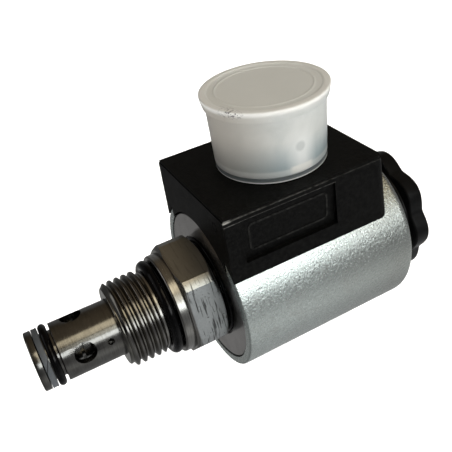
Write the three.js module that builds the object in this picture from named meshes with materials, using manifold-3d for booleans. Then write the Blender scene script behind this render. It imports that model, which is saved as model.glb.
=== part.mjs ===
// Screw-in solenoid cartridge valve, millimetres.
// The valve axis is X, with its origin on the collar's seat face.
// +X points towards the coil nut, +Z towards the connector, and the name plate recess faces -Y.
import * as THREE from "three";
import { mergeVertices } from "three/addons/utils/BufferGeometryUtils.js";
import Module from "manifold-3d";

const wasm = await Module();
wasm.setup();

// ---------- facets and fits ----------
const FACETS = 32; // round every large turned piece, so that mating walls have parallel facets
const SMALL_FACETS = 16; // round pins, orifices and drilled holes
const RING_FACETS = 8; // round the section of a seal ring
const TURN = Math.PI * 2;
const EPS = 0.05; // how far a cutting solid runs past the face that it cuts
const MERGE = 1e-5;

// ---------- driving dimensions ----------
const THREAD = { crest: 8.95, root: 8.1, pitch: 1.5, first: -9.7, turns: 5, flat: 0.17, start: -10.8 };
const NECK = { radius: 7.75, start: -3.0 };
const COLLAR = { radius: 10.5, end: 2.0, edge: 0.35 };
const HEX = { acrossFlats: 22, cornerRadius: 12.15, end: 9.4, cornerAngle: 47 };
const HEX_CHAMFER = { front: 0.5, frontRadius: 11.2, rear: 1.1, rearRadius: 10.3 };
const BODY_BORE = { front: 6.05, rear: 9.05, step: 0.65 };

const NOSE = {
  end: -27.3, radius: 5.91, tipRadius: 5.99,
  bore: 4.0, throat: 2.6, seat: -20.6, seatRadius: 3.0,
};
const GROOVE = { start: -25.9, end: -22.45, radius: 4.65 };
const SLEEVE_FLANGE = { start: 0.75, end: 2.0, radius: 8.6 };
const PORT = { x: -18.05, radius: 2.15, firstAngle: 17.5, count: 4 };
const PILOT_HOLE = { x: -13.0, radius: 0.665, angle: 17.3 };

const TUBE = { start: 2.3, end: 30.5, bore: 7.3, radius: 8.8 };
const BRAZE_RING = { start: 30.6, end: 34.6 };
const POLE = { face: 31.0, spigot: 7.2, start: 34.7, end: 50.4, pocket: 3.2, pocketEnd: 35.5 };
const STUD = { crest: 6.0, root: 5.4, pitch: 1.0, first: 51.6, turns: 5, flat: 0.12, end: 56.2 };
const SHIM = { start: 30.65, end: 30.95, bore: 3.3, radius: 6.9 };

const ARMATURE = {
  start: 3.2, end: 28.6, radius: 7.2,
  pinBore: 1.5, pinEnd: 9.2, vent: 0.8, pocket: 20.0, pocketRadius: 3.0,
};
const ARMATURE_SLOT = { width: 1.6, depth: 1.0 };
const PIN = { radius: 1.4, tip: -6.55, end: 9.0 };
const SPRING = { start: 20.35, end: 35.15, mean: 2.3, wire: 0.33, turns: 6.5, steps: 14, sides: 5 };
const POPPET = { start: -21.2, end: -5.5, land: 3.92, vent: 0.6, seatBore: 2.3, seatBoreEnd: -9.0 };
const PILOT_SEAT = { start: -8.95, end: -5.6, radius: 2.24, orifice: 0.4, mouth: 1.0 };

const COIL = { start: 9.9, end: 49.9, radius: 18.0, wall: 1.7, bore: 9.05, corner: 1.5, lip: 0.5 };
const SLOT = { halfWidth: 12.1, end: 44.9 };
const PLATE = { start: 10.1, end: 12.4, radius: 16.1, sealRadius: 11.1, sealDepth: 1.0 };
const BOBBIN = { start: 12.5, end: 48.1, barrel: 10.0, flange: 16.0, wall: 1.1 };
const WINDING = { bore: 10.1, radius: 15.4, gap: 0.1 };

const BLOCK = { start: 9.85, end: 44.7, halfWidth: 14.3, bottom: 8.0, top: 24.0, corner: 2.0, edge: 0.5 };
// How much further out the block's walls are at its bottom than at its top.
const DRAFT = { side: 0.67, rear: 0.8 };
const BLOCK_SEAT = { shell: 18.15, inner: 16.45, keyHalfWidth: 11.9, sideMeetsShell: 10.0 };
const RECESS = { x0: 13.1, x1: 33.2, z0: 13.7, z1: 22.6, depth: 0.5 };
const PLINTH = {
  x: 28.4, length: 14.8, width: 13.2, corner: 2.5, top: 28.4,
  screwHole: 1.3, screwDepth: 5.0,
};
const BLADE = { thick: 0.8, wide: 6.3, bottom: 18.2, top: 34.6, tip: 1.0, offset: 5.5, gap: 0.1 };
const EARTH = { wide: 4.8, y: 4.9 };
const LEAD = { radius: 0.3, bottom: 15.55, top: 18.1, hole: 0.7 };

const CAP = {
  bottom: 24.15, rootRadius: 11.0,
  skirtTop: 36.6, skirtRadius: 11.4,
  lidRadius: 12.25, top: 38.9,
};
const CAP_INSIDE = { radius: 9.75, top: 37.2 };
const CAP_RIM = { inner: 11.0, recess: 0.35 };

const NUT = {
  start: 50.05, lobesStart: 54.0, end: 57.8, skirt: 12.0,
  peak: 14.2, valley: 12.9, lobes: 8, lobeAngle: -1,
};
const NUT_BORE = { seal: 11.0, sealEnd: 51.9, insert: 8.1, lip: 6.6, lipStart: 56.7, bevel: 0.4 };
const INSERT = { start: 52.0, end: 56.6, radius: 8.0, bore: 6.15 };

const SEALS = {
  nose: { x: -23.72, mean: 5.52, section: 0.77 },
  collar: { x: -1.15, mean: 9.0, section: 1.08 },
  coilFront: { x: 10.42, mean: 10.0, section: 0.66 },
  coilRear: { x: 50.85, mean: 9.95, section: 0.84 },
};
const BACKUP = { start: -25.75, end: -24.65, bore: 4.75, radius: 6.06, cut: 0.35, cutAngle: 25, cutTilt: 35 };

// ---------- finishes ----------
const FINISH = {
  zincSteel: { color: 0xb9bcbf, roughness: 0.38, metalness: 1.0 },
  turnedSteel: { color: 0xa9a7a2, roughness: 0.3, metalness: 1.0 },
  darkSteel: { color: 0x6c6a66, roughness: 0.35, metalness: 1.0 },
  platedDisc: { color: 0x8d8880, roughness: 0.45, metalness: 1.0 },
  springSteel: { color: 0x9a9a98, roughness: 0.3, metalness: 1.0 },
  brass: { color: 0xb8923f, roughness: 0.3, metalness: 1.0 },
  tinned: { color: 0xb9b6ac, roughness: 0.35, metalness: 1.0 },
  copper: { color: 0xa9603a, roughness: 0.4, metalness: 1.0 },
  nylonBlack: { color: 0x17181a, roughness: 0.5, metalness: 0.0 },
  nylonNatural: { color: 0xd8d2c0, roughness: 0.5, metalness: 0.0 },
  capPlastic: { color: 0xd4d3cd, roughness: 0.35, metalness: 0.0 },
  rubber: { color: 0x0f1012, roughness: 0.35, metalness: 0.0 },
  backup: { color: 0x8c97a3, roughness: 0.45, metalness: 0.0 },
  shimPlastic: { color: 0xcfc7a8, roughness: 0.5, metalness: 0.0 },
};

// ---------- solids ----------
function signedVolume(position, index) {
  let sum = 0;
  const corner = (i) => new THREE.Vector3(position[3 * i], position[3 * i + 1], position[3 * i + 2]);
  for (let t = 0; t < index.length; t += 3) {
    const a = corner(index[t]);
    const b = corner(index[t + 1]);
    const c = corner(index[t + 2]);
    sum += a.dot(b.cross(c));
  }
  return sum;
}

function toSolid(geometry) {
  const bare = geometry.clone();
  bare.deleteAttribute("normal");
  bare.deleteAttribute("uv");
  const merged = mergeVertices(bare, MERGE);
  const position = merged.attributes.position.array;
  const all = merged.index.array;
  const index = [];
  for (let t = 0; t < all.length; t += 3) {
    const [a, b, c] = [all[t], all[t + 1], all[t + 2]];
    if (a !== b && b !== c && a !== c) index.push(a, b, c);
  }
  if (signedVolume(position, index) < 0) {
    for (let t = 0; t < index.length; t += 3) [index[t + 1], index[t + 2]] = [index[t + 2], index[t + 1]];
  }
  const mesh = new wasm.Mesh({
    numProp: 3,
    vertProperties: Float32Array.from(position),
    triVerts: Uint32Array.from(index),
  });
  return new wasm.Manifold(mesh);
}

function toGeometry(solid) {
  const mesh = solid.getMesh();
  const geometry = new THREE.BufferGeometry();
  geometry.setAttribute("position", new THREE.BufferAttribute(Float32Array.from(mesh.vertProperties), 3));
  geometry.setIndex(new THREE.BufferAttribute(Uint32Array.from(mesh.triVerts), 1));
  geometry.computeVertexNormals();
  return geometry;
}

// A profile of [x, radius] points turned about the X axis.
// It starts and ends on the axis, or closes on itself.
function turned(profile, facets = FACETS) {
  const points = profile.map(([x, radius]) => new THREE.Vector2(radius, x));
  const [first, last] = [profile[0], profile[profile.length - 1]];
  const onAxis = first[1] === 0 && last[1] === 0;
  if (!onAxis) points.push(points[0].clone());
  const geometry = new THREE.LatheGeometry(points, facets);
  geometry.rotateZ(-Math.PI / 2);
  return toSolid(geometry);
}

// The same about the Z axis, from [radius, z] points.
function turnedUpright(profile, x, facets = FACETS) {
  const points = profile.map(([radius, z]) => new THREE.Vector2(radius, z));
  const geometry = new THREE.LatheGeometry(points, facets);
  geometry.rotateX(Math.PI / 2);
  geometry.translate(x, 0, 0);
  return toSolid(geometry);
}

const ring = (x0, x1, bore, radius, facets = FACETS) =>
  turned([[x0, bore], [x0, radius], [x1, radius], [x1, bore]], facets);

const rod = (x0, x1, radius, facets = FACETS) => {
  const profile = [[x0, 0], [x0, radius], [x1, radius], [x1, 0]];
  return turned(profile, facets);
};

function sealRing({ x, mean, section }) {
  const profile = [];
  for (let i = 0; i < RING_FACETS; i += 1) {
    const angle = (TURN * i) / RING_FACETS;
    profile.push([x + section * Math.cos(angle), mean + section * Math.sin(angle)]);
  }
  return turned(profile);
}

function box(x0, x1, y0, y1, z0, z1) {
  const geometry = new THREE.BoxGeometry(x1 - x0, y1 - y0, z1 - z0);
  geometry.translate((x0 + x1) / 2, (y0 + y1) / 2, (z0 + z1) / 2);
  return toSolid(geometry);
}

function outlineShape(outline) {
  return new THREE.Shape(outline.map(([u, v]) => new THREE.Vector2(u, v)));
}

function extruded(outline, length, bevel = 0) {
  return new THREE.ExtrudeGeometry(outlineShape(outline), {
    depth: length - 2 * bevel,
    bevelEnabled: bevel > 0,
    bevelSize: bevel,
    bevelThickness: bevel,
    bevelOffset: -bevel,
    bevelSegments: 1,
    steps: 1,
  });
}

const AXIS = {
  x: new THREE.Vector3(1, 0, 0),
  y: new THREE.Vector3(0, 1, 0),
  z: new THREE.Vector3(0, 0, 1),
};

// An outline of [y, z] points drawn out along X.
function prismAlongX(outline, x0, x1, bevel = 0) {
  const geometry = extruded(outline, x1 - x0, bevel);
  geometry.applyMatrix4(new THREE.Matrix4().makeBasis(AXIS.y, AXIS.z, AXIS.x));
  geometry.translate(x0 + bevel, 0, 0);
  return toSolid(geometry);
}

// An outline of [x, z] points drawn out along Y.
function prismAlongY(outline, y0, y1) {
  const geometry = extruded(outline, y1 - y0);
  geometry.applyMatrix4(new THREE.Matrix4().makeBasis(AXIS.x, AXIS.z, AXIS.y.clone().negate()));
  geometry.translate(0, y1, 0);
  return toSolid(geometry);
}

// An outline of [x, y] points drawn out along Z.
function prismAlongZ(outline, z0, z1) {
  const geometry = extruded(outline, z1 - z0);
  geometry.translate(0, 0, z0);
  return toSolid(geometry);
}

// A solid between two outlines of [x, y] points, one at height z0 and one at z1.
function lofted(lower, upper, z0, z1) {
  const count = lower.length;
  const points = [...lower.map(([x, y]) => [x, y, z0]), ...upper.map(([x, y]) => [x, y, z1])];
  const index = [];
  for (let i = 0; i < count; i += 1) {
    const next = (i + 1) % count;
    index.push(i, next, count + next, i, count + next, count + i);
  }
  for (let i = 1; i < count - 1; i += 1) index.push(0, i + 1, i, count, count + i, count + i + 1);
  const geometry = new THREE.BufferGeometry();
  geometry.setAttribute("position", new THREE.BufferAttribute(Float32Array.from(points.flat()), 3));
  geometry.setIndex(index);
  return toSolid(geometry);
}

function uprightRod(x, y, z0, z1, radius) {
  const geometry = new THREE.CylinderGeometry(radius, radius, z1 - z0, SMALL_FACETS);
  geometry.rotateX(Math.PI / 2);
  geometry.translate(x, y, (z0 + z1) / 2);
  return toSolid(geometry);
}

// A drill across the axis. Angles are measured from -Y, and turn towards +Z.
function radialDrill(x, radius, degrees, reach) {
  const geometry = new THREE.CylinderGeometry(radius, radius, reach, SMALL_FACETS);
  geometry.translate(0, reach / 2, 0);
  geometry.rotateX(Math.PI - THREE.MathUtils.degToRad(degrees));
  geometry.translate(x, 0, 0);
  return toSolid(geometry);
}

function roundedRectangle(cx, cy, length, width, corner, steps = 4) {
  const points = [];
  const centres = [[1, 1], [-1, 1], [-1, -1], [1, -1]];
  centres.forEach(([sx, sy], quarter) => {
    for (let i = 0; i <= steps; i += 1) {
      const angle = (Math.PI / 2) * (quarter + i / steps);
      points.push([
        cx + sx * (length / 2 - corner) + corner * Math.cos(angle),
        cy + sy * (width / 2 - corner) + corner * Math.sin(angle),
      ]);
    }
  });
  return points;
}

// Ridges and dips of a screw thread as turned rings, from the first crest to the last.
function threadProfile({ crest, root, pitch, first, turns, flat }) {
  const points = [];
  for (let i = 0; i < turns; i += 1) {
    const centre = first + i * pitch;
    points.push([centre - flat, crest], [centre + flat, crest]);
    if (i < turns - 1) points.push([centre + pitch / 2, root]);
  }
  return points;
}

// ---------- the fixed cartridge ----------
function hexBody() {
  const outside = turned([
    [THREAD.start, 0],
    [THREAD.start, THREAD.root],
    ...threadProfile(THREAD),
    [NECK.start, NECK.radius],
    [0, NECK.radius],
    [0, COLLAR.radius - COLLAR.edge],
    [COLLAR.edge, COLLAR.radius],
    [COLLAR.end + HEX_CHAMFER.front, COLLAR.radius],
    [COLLAR.end + HEX_CHAMFER.front, 0],
  ]);
  const corner = HEX.acrossFlats / 2 / Math.cos(Math.PI / 6);
  const outline = [];
  for (let i = 0; i < 6; i += 1) {
    const angle = THREE.MathUtils.degToRad(HEX.cornerAngle + 60 * i);
    outline.push([-corner * Math.cos(angle), corner * Math.sin(angle)]);
  }
  const chamfered = turned([
    [COLLAR.end, 0],
    [COLLAR.end, HEX_CHAMFER.frontRadius],
    [COLLAR.end + HEX_CHAMFER.front, HEX.cornerRadius],
    [HEX.end - HEX_CHAMFER.rear, HEX.cornerRadius],
    [HEX.end, HEX_CHAMFER.rearRadius],
    [HEX.end, 0],
  ]);
  const hexagon = prismAlongX(outline, COLLAR.end - EPS, HEX.end + EPS).intersect(chamfered);
  return outside
    .add(hexagon)
    .subtract(rod(THREAD.start - EPS, BODY_BORE.step + EPS, BODY_BORE.front))
    .subtract(rod(BODY_BORE.step, HEX.end + EPS, BODY_BORE.rear));
}

function valveSleeve() {
  const mouth = 0.3;
  let body = turned([
    [NOSE.end, NOSE.throat + mouth],
    [NOSE.end, NOSE.tipRadius - mouth],
    [NOSE.end + mouth, NOSE.tipRadius],
    [GROOVE.start - mouth / 2, NOSE.tipRadius],
    [GROOVE.start, NOSE.tipRadius - mouth / 2],
    [GROOVE.start, GROOVE.radius],
    [GROOVE.end, GROOVE.radius],
    [GROOVE.end, NOSE.radius - mouth / 2],
    [GROOVE.end + mouth / 2, NOSE.radius],
    [SLEEVE_FLANGE.start, NOSE.radius],
    [SLEEVE_FLANGE.start, SLEEVE_FLANGE.radius],
    [SLEEVE_FLANGE.end, SLEEVE_FLANGE.radius],
    [SLEEVE_FLANGE.end, NOSE.bore],
    [NOSE.seat + NOSE.seatRadius - NOSE.throat, NOSE.bore],
    [NOSE.seat + NOSE.seatRadius - NOSE.throat, NOSE.seatRadius],
    [NOSE.seat, NOSE.throat],
    [NOSE.end + mouth, NOSE.throat],
  ]);
  for (let i = 0; i < PORT.count; i += 1) {
    const angle = PORT.firstAngle + (360 / PORT.count) * i;
    body = body.subtract(radialDrill(PORT.x, PORT.radius, angle, NOSE.radius + 1));
  }
  return body.subtract(radialDrill(PILOT_HOLE.x, PILOT_HOLE.radius, PILOT_HOLE.angle, NOSE.radius + 1));
}

function backupRing() {
  const cutter = new THREE.BoxGeometry(6, 2 * BACKUP.radius, BACKUP.cut);
  cutter.rotateY(THREE.MathUtils.degToRad(BACKUP.cutTilt));
  cutter.translate((BACKUP.start + BACKUP.end) / 2, -BACKUP.radius, 0);
  cutter.rotateX(THREE.MathUtils.degToRad(-BACKUP.cutAngle));
  return ring(BACKUP.start, BACKUP.end, BACKUP.bore, BACKUP.radius).subtract(toSolid(cutter));
}

const coreTube = () => ring(TUBE.start, TUBE.end, TUBE.bore, TUBE.radius);

const nonmagneticRing = () => ring(BRAZE_RING.start, BRAZE_RING.end, TUBE.bore, TUBE.radius);

function polePiece() {
  const edge = 0.3;
  return turned([
    [POLE.pocketEnd, 0],
    [POLE.pocketEnd, POLE.pocket],
    [POLE.face, POLE.pocket],
    [POLE.face, POLE.spigot],
    [POLE.start, POLE.spigot],
    [POLE.start, TUBE.radius],
    [POLE.end - edge, TUBE.radius],
    [POLE.end, TUBE.radius - edge],
    [POLE.end, STUD.root],
    [STUD.first - STUD.pitch / 2, STUD.root],
    ...threadProfile(STUD),
    [STUD.end, STUD.root],
    [STUD.end, 0],
  ]);
}

const antiStickShim = () => ring(SHIM.start, SHIM.end, SHIM.bore, SHIM.radius);

// ---------- the pieces that slide inside ----------
function armature() {
  const edge = 0.3;
  let body = turned([
    [ARMATURE.start, ARMATURE.pinBore],
    [ARMATURE.start, ARMATURE.radius - edge],
    [ARMATURE.start + edge, ARMATURE.radius],
    [ARMATURE.end - edge, ARMATURE.radius],
    [ARMATURE.end, ARMATURE.radius - edge],
    [ARMATURE.end, ARMATURE.pocketRadius],
    [ARMATURE.pocket, ARMATURE.pocketRadius],
    [ARMATURE.pocket, ARMATURE.vent],
    [ARMATURE.pinEnd, ARMATURE.vent],
    [ARMATURE.pinEnd, ARMATURE.pinBore],
  ]);
  const half = ARMATURE_SLOT.width / 2;
  const bottom = ARMATURE.radius - ARMATURE_SLOT.depth;
  for (const side of [-1, 1]) {
    const [y0, y1] = side < 0 ? [-ARMATURE.radius - 1, -bottom] : [bottom, ARMATURE.radius + 1];
    body = body.subtract(box(ARMATURE.start - 1, ARMATURE.end + 1, y0, y1, -half, half));
  }
  return body;
}

const pilotPin = () => {
  const profile = [[PIN.tip, 0], [PIN.tip + PIN.radius, PIN.radius], [PIN.end, PIN.radius], [PIN.end, 0]];
  return turned(profile, SMALL_FACETS);
};

class Helix extends THREE.Curve {
  getPoint(t, target = new THREE.Vector3()) {
    const angle = TURN * SPRING.turns * t;
    const from = SPRING.start + SPRING.wire;
    const to = SPRING.end - SPRING.wire;
    return target.set(from + (to - from) * t, SPRING.mean * Math.cos(angle), SPRING.mean * Math.sin(angle));
  }
}

function returnSpring() {
  const section = [];
  for (let i = 0; i < SPRING.sides; i += 1) {
    const angle = (TURN * i) / SPRING.sides;
    section.push([SPRING.wire * Math.cos(angle), SPRING.wire * Math.sin(angle)]);
  }
  const geometry = new THREE.ExtrudeGeometry(outlineShape(section), {
    steps: Math.round(SPRING.turns * SPRING.steps),
    bevelEnabled: false,
    extrudePath: new Helix(),
  });
  return toSolid(geometry);
}

function mainPoppet() {
  const coneGap = 0.1; // keeps the cone just clear of the seat
  const coneRadius = (x) => x - NOSE.seat + NOSE.throat - coneGap;
  const noseEnd = -19.9;
  const groove = { x0: -18.6, x1: -18.0, radius: 2.75 };
  const shank = { end: -16.6, radius: 3.4 };
  const balance = { x0: -11.4, x1: -10.8, radius: 3.6 };
  return turned([
    [POPPET.start, POPPET.vent],
    [POPPET.start, coneRadius(POPPET.start)],
    [noseEnd, coneRadius(noseEnd)],
    [groove.x0, coneRadius(noseEnd)],
    [groove.x0, groove.radius],
    [groove.x1, groove.radius],
    [groove.x1, shank.radius],
    [shank.end, shank.radius],
    [shank.end + POPPET.land - shank.radius, POPPET.land],
    [balance.x0, POPPET.land],
    [balance.x0, balance.radius],
    [balance.x1, balance.radius],
    [balance.x1, POPPET.land],
    [POPPET.end, POPPET.land],
    [POPPET.end, POPPET.seatBore],
    [POPPET.seatBoreEnd, POPPET.seatBore],
    [POPPET.seatBoreEnd, POPPET.vent],
  ]);
}

function pilotSeat() {
  const cone = PILOT_SEAT.mouth - PILOT_SEAT.orifice;
  return turned([
    [PILOT_SEAT.start, PILOT_SEAT.orifice],
    [PILOT_SEAT.start, PILOT_SEAT.radius],
    [PILOT_SEAT.end, PILOT_SEAT.radius],
    [PILOT_SEAT.end, PILOT_SEAT.mouth],
    [PILOT_SEAT.end - cone, PILOT_SEAT.orifice],
  ]);
}

// ---------- the coil ----------
function coilShell() {
  const inside = COIL.radius - COIL.wall;
  const round = [];
  const steps = 3;
  for (let i = 0; i <= steps; i += 1) {
    const angle = (Math.PI / 2) * (i / steps);
    const back = COIL.corner * (1 - Math.sin(angle));
    const drop = COIL.corner * (1 - Math.cos(angle));
    round.push([COIL.end - back, COIL.radius - drop]);
  }
  const cup = turned([
    [COIL.start, inside],
    [COIL.start, COIL.radius - COIL.lip],
    [COIL.start + COIL.lip, COIL.radius],
    ...round,
    [COIL.end, COIL.bore],
    [COIL.end - COIL.wall, COIL.bore],
    [COIL.end - COIL.wall, inside],
  ]);
  const slot = box(COIL.start - 1, SLOT.end, -SLOT.halfWidth, SLOT.halfWidth, BLOCK.bottom, COIL.radius + 1);
  return cup.subtract(slot);
}

const frontPolePlate = () =>
  turned([
    [PLATE.start, PLATE.sealRadius],
    [PLATE.start, PLATE.radius],
    [PLATE.end, PLATE.radius],
    [PLATE.end, COIL.bore],
    [PLATE.start + PLATE.sealDepth, COIL.bore],
    [PLATE.start + PLATE.sealDepth, PLATE.sealRadius],
  ]);

const bobbin = () =>
  turned([
    [BOBBIN.start, COIL.bore],
    [BOBBIN.start, BOBBIN.flange],
    [BOBBIN.start + BOBBIN.wall, BOBBIN.flange],
    [BOBBIN.start + BOBBIN.wall, BOBBIN.barrel],
    [BOBBIN.end - BOBBIN.wall, BOBBIN.barrel],
    [BOBBIN.end - BOBBIN.wall, BOBBIN.flange],
    [BOBBIN.end, BOBBIN.flange],
    [BOBBIN.end, COIL.bore],
  ]);

const winding = () => {
  const inset = BOBBIN.wall + WINDING.gap;
  return ring(BOBBIN.start + inset, BOBBIN.end - inset, WINDING.bore, WINDING.radius);
};

// The block's plan, with square front corners and round rear ones.
function blockPlan(halfWidth, end) {
  const { start, corner } = BLOCK;
  const steps = 4;
  const rear = [];
  for (let i = 0; i <= steps; i += 1) {
    const angle = (Math.PI / 2) * (i / steps);
    rear.push([end - corner * (1 - Math.sin(angle)), halfWidth - corner * (1 - Math.cos(angle))]);
  }
  const mirrored = rear.map(([x, y]) => [x, -y]);
  return [[start, -halfWidth], ...mirrored, ...rear.reverse(), [start, halfWidth]];
}

function blockBody() {
  const { start, bottom, top, corner, edge, halfWidth } = BLOCK;
  const low = BLOCK_SEAT.sideMeetsShell;
  const end = BLOCK.end + DRAFT.rear;
  const outline = [[start, bottom], [end - corner - 1, bottom], [end - corner, low]];
  for (let i = 1; i <= 3; i += 1) {
    const angle = (Math.PI / 2) * (i / 3);
    outline.push([end - corner + corner * Math.sin(angle), low + corner - corner * Math.cos(angle)]);
  }
  outline.push([end, top], [start + edge, top], [start, top - edge]);
  const foot = blockPlan(halfWidth + DRAFT.side, end);
  const head = blockPlan(halfWidth, BLOCK.end);
  const sideView = prismAlongY(outline, -halfWidth - 1, halfWidth + 1);
  const wholeBlock = lofted(foot, head, bottom, top).intersect(sideView);
  const keyEnd = SLOT.end - 0.2;
  const key = box(start - 1, keyEnd, -BLOCK_SEAT.keyHalfWidth, BLOCK_SEAT.keyHalfWidth, 0, COIL.radius + 1);
  const shellRoom = rod(start - 1, end + 1, BLOCK_SEAT.shell).subtract(key);
  return wholeBlock.subtract(shellRoom).subtract(rod(start - 1, end + 1, BLOCK_SEAT.inner));
}

// The three flat contacts: [x, y, size along X, size along Y].
const CONTACTS = {
  front: [PLINTH.x - BLADE.offset, 0, BLADE.thick, BLADE.wide],
  rear: [PLINTH.x + BLADE.offset, 0, BLADE.thick, BLADE.wide],
  earth: [PLINTH.x, EARTH.y, EARTH.wide, BLADE.thick],
};

function terminalHousing() {
  const { x, length, width, corner, top, screwHole, screwDepth } = PLINTH;
  const outside = -BLOCK.halfWidth - 1;
  const recessFloor = -BLOCK.halfWidth + RECESS.depth;
  let body = blockBody()
    .subtract(box(RECESS.x0, RECESS.x1, outside, recessFloor, RECESS.z0, RECESS.z1))
    .add(prismAlongZ(roundedRectangle(x, 0, length, width, corner), BLOCK.top - 1, top))
    .subtract(uprightRod(x, 0, top - screwDepth, top + 1, screwHole));
  for (const [cx, cy, sx, sy] of Object.values(CONTACTS)) {
    const [hx, hy] = [sx / 2 + BLADE.gap, sy / 2 + BLADE.gap];
    body = body.subtract(box(cx - hx, cx + hx, cy - hy, cy + hy, BLADE.bottom - BLADE.gap, top + 1));
  }
  for (const [cx] of [CONTACTS.front, CONTACTS.rear]) {
    body = body.subtract(uprightRod(cx, 0, LEAD.bottom - 1, BLADE.bottom, LEAD.hole));
  }
  return body;
}

// A flat contact with a tip that narrows on its wide sides.
function contactBlade([cx, cy, sx, sy]) {
  const alongY = sy > sx;
  const half = Math.max(sx, sy) / 2;
  const centre = alongY ? cy : cx;
  const outline = [
    [centre - half, BLADE.bottom],
    [centre + half, BLADE.bottom],
    [centre + half, BLADE.top - BLADE.tip],
    [centre + half - BLADE.tip, BLADE.top],
    [centre - half + BLADE.tip, BLADE.top],
    [centre - half, BLADE.top - BLADE.tip],
  ];
  return alongY
    ? prismAlongX(outline, cx - sx / 2, cx + sx / 2)
    : prismAlongY(outline, cy - sy / 2, cy + sy / 2);
}

const windingLead = ([cx]) => uprightRod(cx, 0, LEAD.bottom, LEAD.top, LEAD.radius);

// ---------- the cap ----------
function connectorCap() {
  const edge = 0.5;
  const { bottom, rootRadius, skirtTop, skirtRadius, lidRadius, top } = CAP;
  return turnedUpright(
    [
      [0, top - CAP_RIM.recess],
      [CAP_RIM.inner - CAP_RIM.recess, top - CAP_RIM.recess],
      [CAP_RIM.inner, top],
      [lidRadius - edge, top],
      [lidRadius, top - edge],
      [lidRadius, skirtTop + edge],
      [lidRadius - edge, skirtTop],
      [skirtRadius, skirtTop],
      [rootRadius, bottom],
      [CAP_INSIDE.radius, bottom],
      [CAP_INSIDE.radius, CAP_INSIDE.top],
      [0, CAP_INSIDE.top],
    ],
    PLINTH.x,
  );
}

// ---------- the nut ----------
function coilNut() {
  const outline = [];
  const perLobe = 6;
  const middle = (NUT.peak + NUT.valley) / 2;
  const swing = (NUT.peak - NUT.valley) / 2;
  for (let i = 0; i < NUT.lobes * perLobe; i += 1) {
    const angle = (TURN * i) / (NUT.lobes * perLobe);
    const radius = middle + swing * Math.cos(NUT.lobes * angle);
    const turnedAngle = angle + THREE.MathUtils.degToRad(NUT.lobeAngle);
    outline.push([-radius * Math.cos(turnedAngle), radius * Math.sin(turnedAngle)]);
  }
  const grip = prismAlongX(outline, NUT.lobesStart, NUT.end, NUT_BORE.bevel);
  const skirt = rod(NUT.start, NUT.end - NUT_BORE.bevel, NUT.skirt);
  const inside = turned([
    [NUT.start - 1, 0],
    [NUT.start - 1, NUT_BORE.seal],
    [NUT_BORE.sealEnd, NUT_BORE.seal],
    [NUT_BORE.sealEnd, NUT_BORE.insert],
    [NUT_BORE.lipStart, NUT_BORE.insert],
    [NUT_BORE.lipStart, NUT_BORE.lip],
    [NUT.end + 1, NUT_BORE.lip],
    [NUT.end + 1, 0],
  ]);
  return grip.add(skirt).subtract(inside);
}

const nutInsert = () => ring(INSERT.start, INSERT.end, INSERT.bore, INSERT.radius);

// ---------- assembly ----------
const PIECES = [
  ["hex_body", hexBody, "darkSteel"],
  ["valve_sleeve", valveSleeve, "turnedSteel"],
  ["nose_o_ring", () => sealRing(SEALS.nose), "rubber"],
  ["nose_backup_ring", backupRing, "backup"],
  ["collar_o_ring", () => sealRing(SEALS.collar), "rubber"],
  ["core_tube", coreTube, "turnedSteel"],
  ["nonmagnetic_ring", nonmagneticRing, "brass"],
  ["pole_piece", polePiece, "turnedSteel"],
  ["anti_stick_shim", antiStickShim, "shimPlastic"],
  ["armature", armature, "turnedSteel"],
  ["pilot_pin", pilotPin, "springSteel"],
  ["return_spring", returnSpring, "springSteel"],
  ["main_poppet", mainPoppet, "turnedSteel"],
  ["pilot_seat", pilotSeat, "brass"],
  ["coil_shell", coilShell, "zincSteel"],
  ["front_pole_plate", frontPolePlate, "platedDisc"],
  ["bobbin", bobbin, "nylonNatural"],
  ["winding", winding, "copper"],
  ["terminal_housing", terminalHousing, "nylonBlack"],
  ["contact_blade_front", () => contactBlade(CONTACTS.front), "tinned"],
  ["contact_blade_rear", () => contactBlade(CONTACTS.rear), "tinned"],
  ["earth_blade", () => contactBlade(CONTACTS.earth), "tinned"],
  ["winding_lead_front", () => windingLead(CONTACTS.front), "copper"],
  ["winding_lead_rear", () => windingLead(CONTACTS.rear), "copper"],
  ["coil_front_o_ring", () => sealRing(SEALS.coilFront), "rubber"],
  ["coil_rear_o_ring", () => sealRing(SEALS.coilRear), "rubber"],
  ["coil_nut", coilNut, "nylonBlack"],
  ["nut_insert", nutInsert, "brass"],
  ["connector_cap", connectorCap, "capPlastic"],
];

const group = new THREE.Group();
group.name = "solenoid_cartridge_valve";
for (const [name, make, finish] of PIECES) {
  const mesh = new THREE.Mesh(toGeometry(make()), new THREE.MeshStandardMaterial(FINISH[finish]));
  mesh.name = name;
  group.add(mesh);
}

export default group;
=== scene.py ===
"""Looks of a screw-in solenoid cartridge valve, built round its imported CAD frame.

The valve axis is X, with its origin on the collar's seat face. +X points to the coil nut and +Z to the
connector. Angles round the axis are measured from -Y and turn towards +Z.
"""

import math
from types import SimpleNamespace as Named

import bmesh
import bpy
from mathutils import Matrix, Vector

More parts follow.
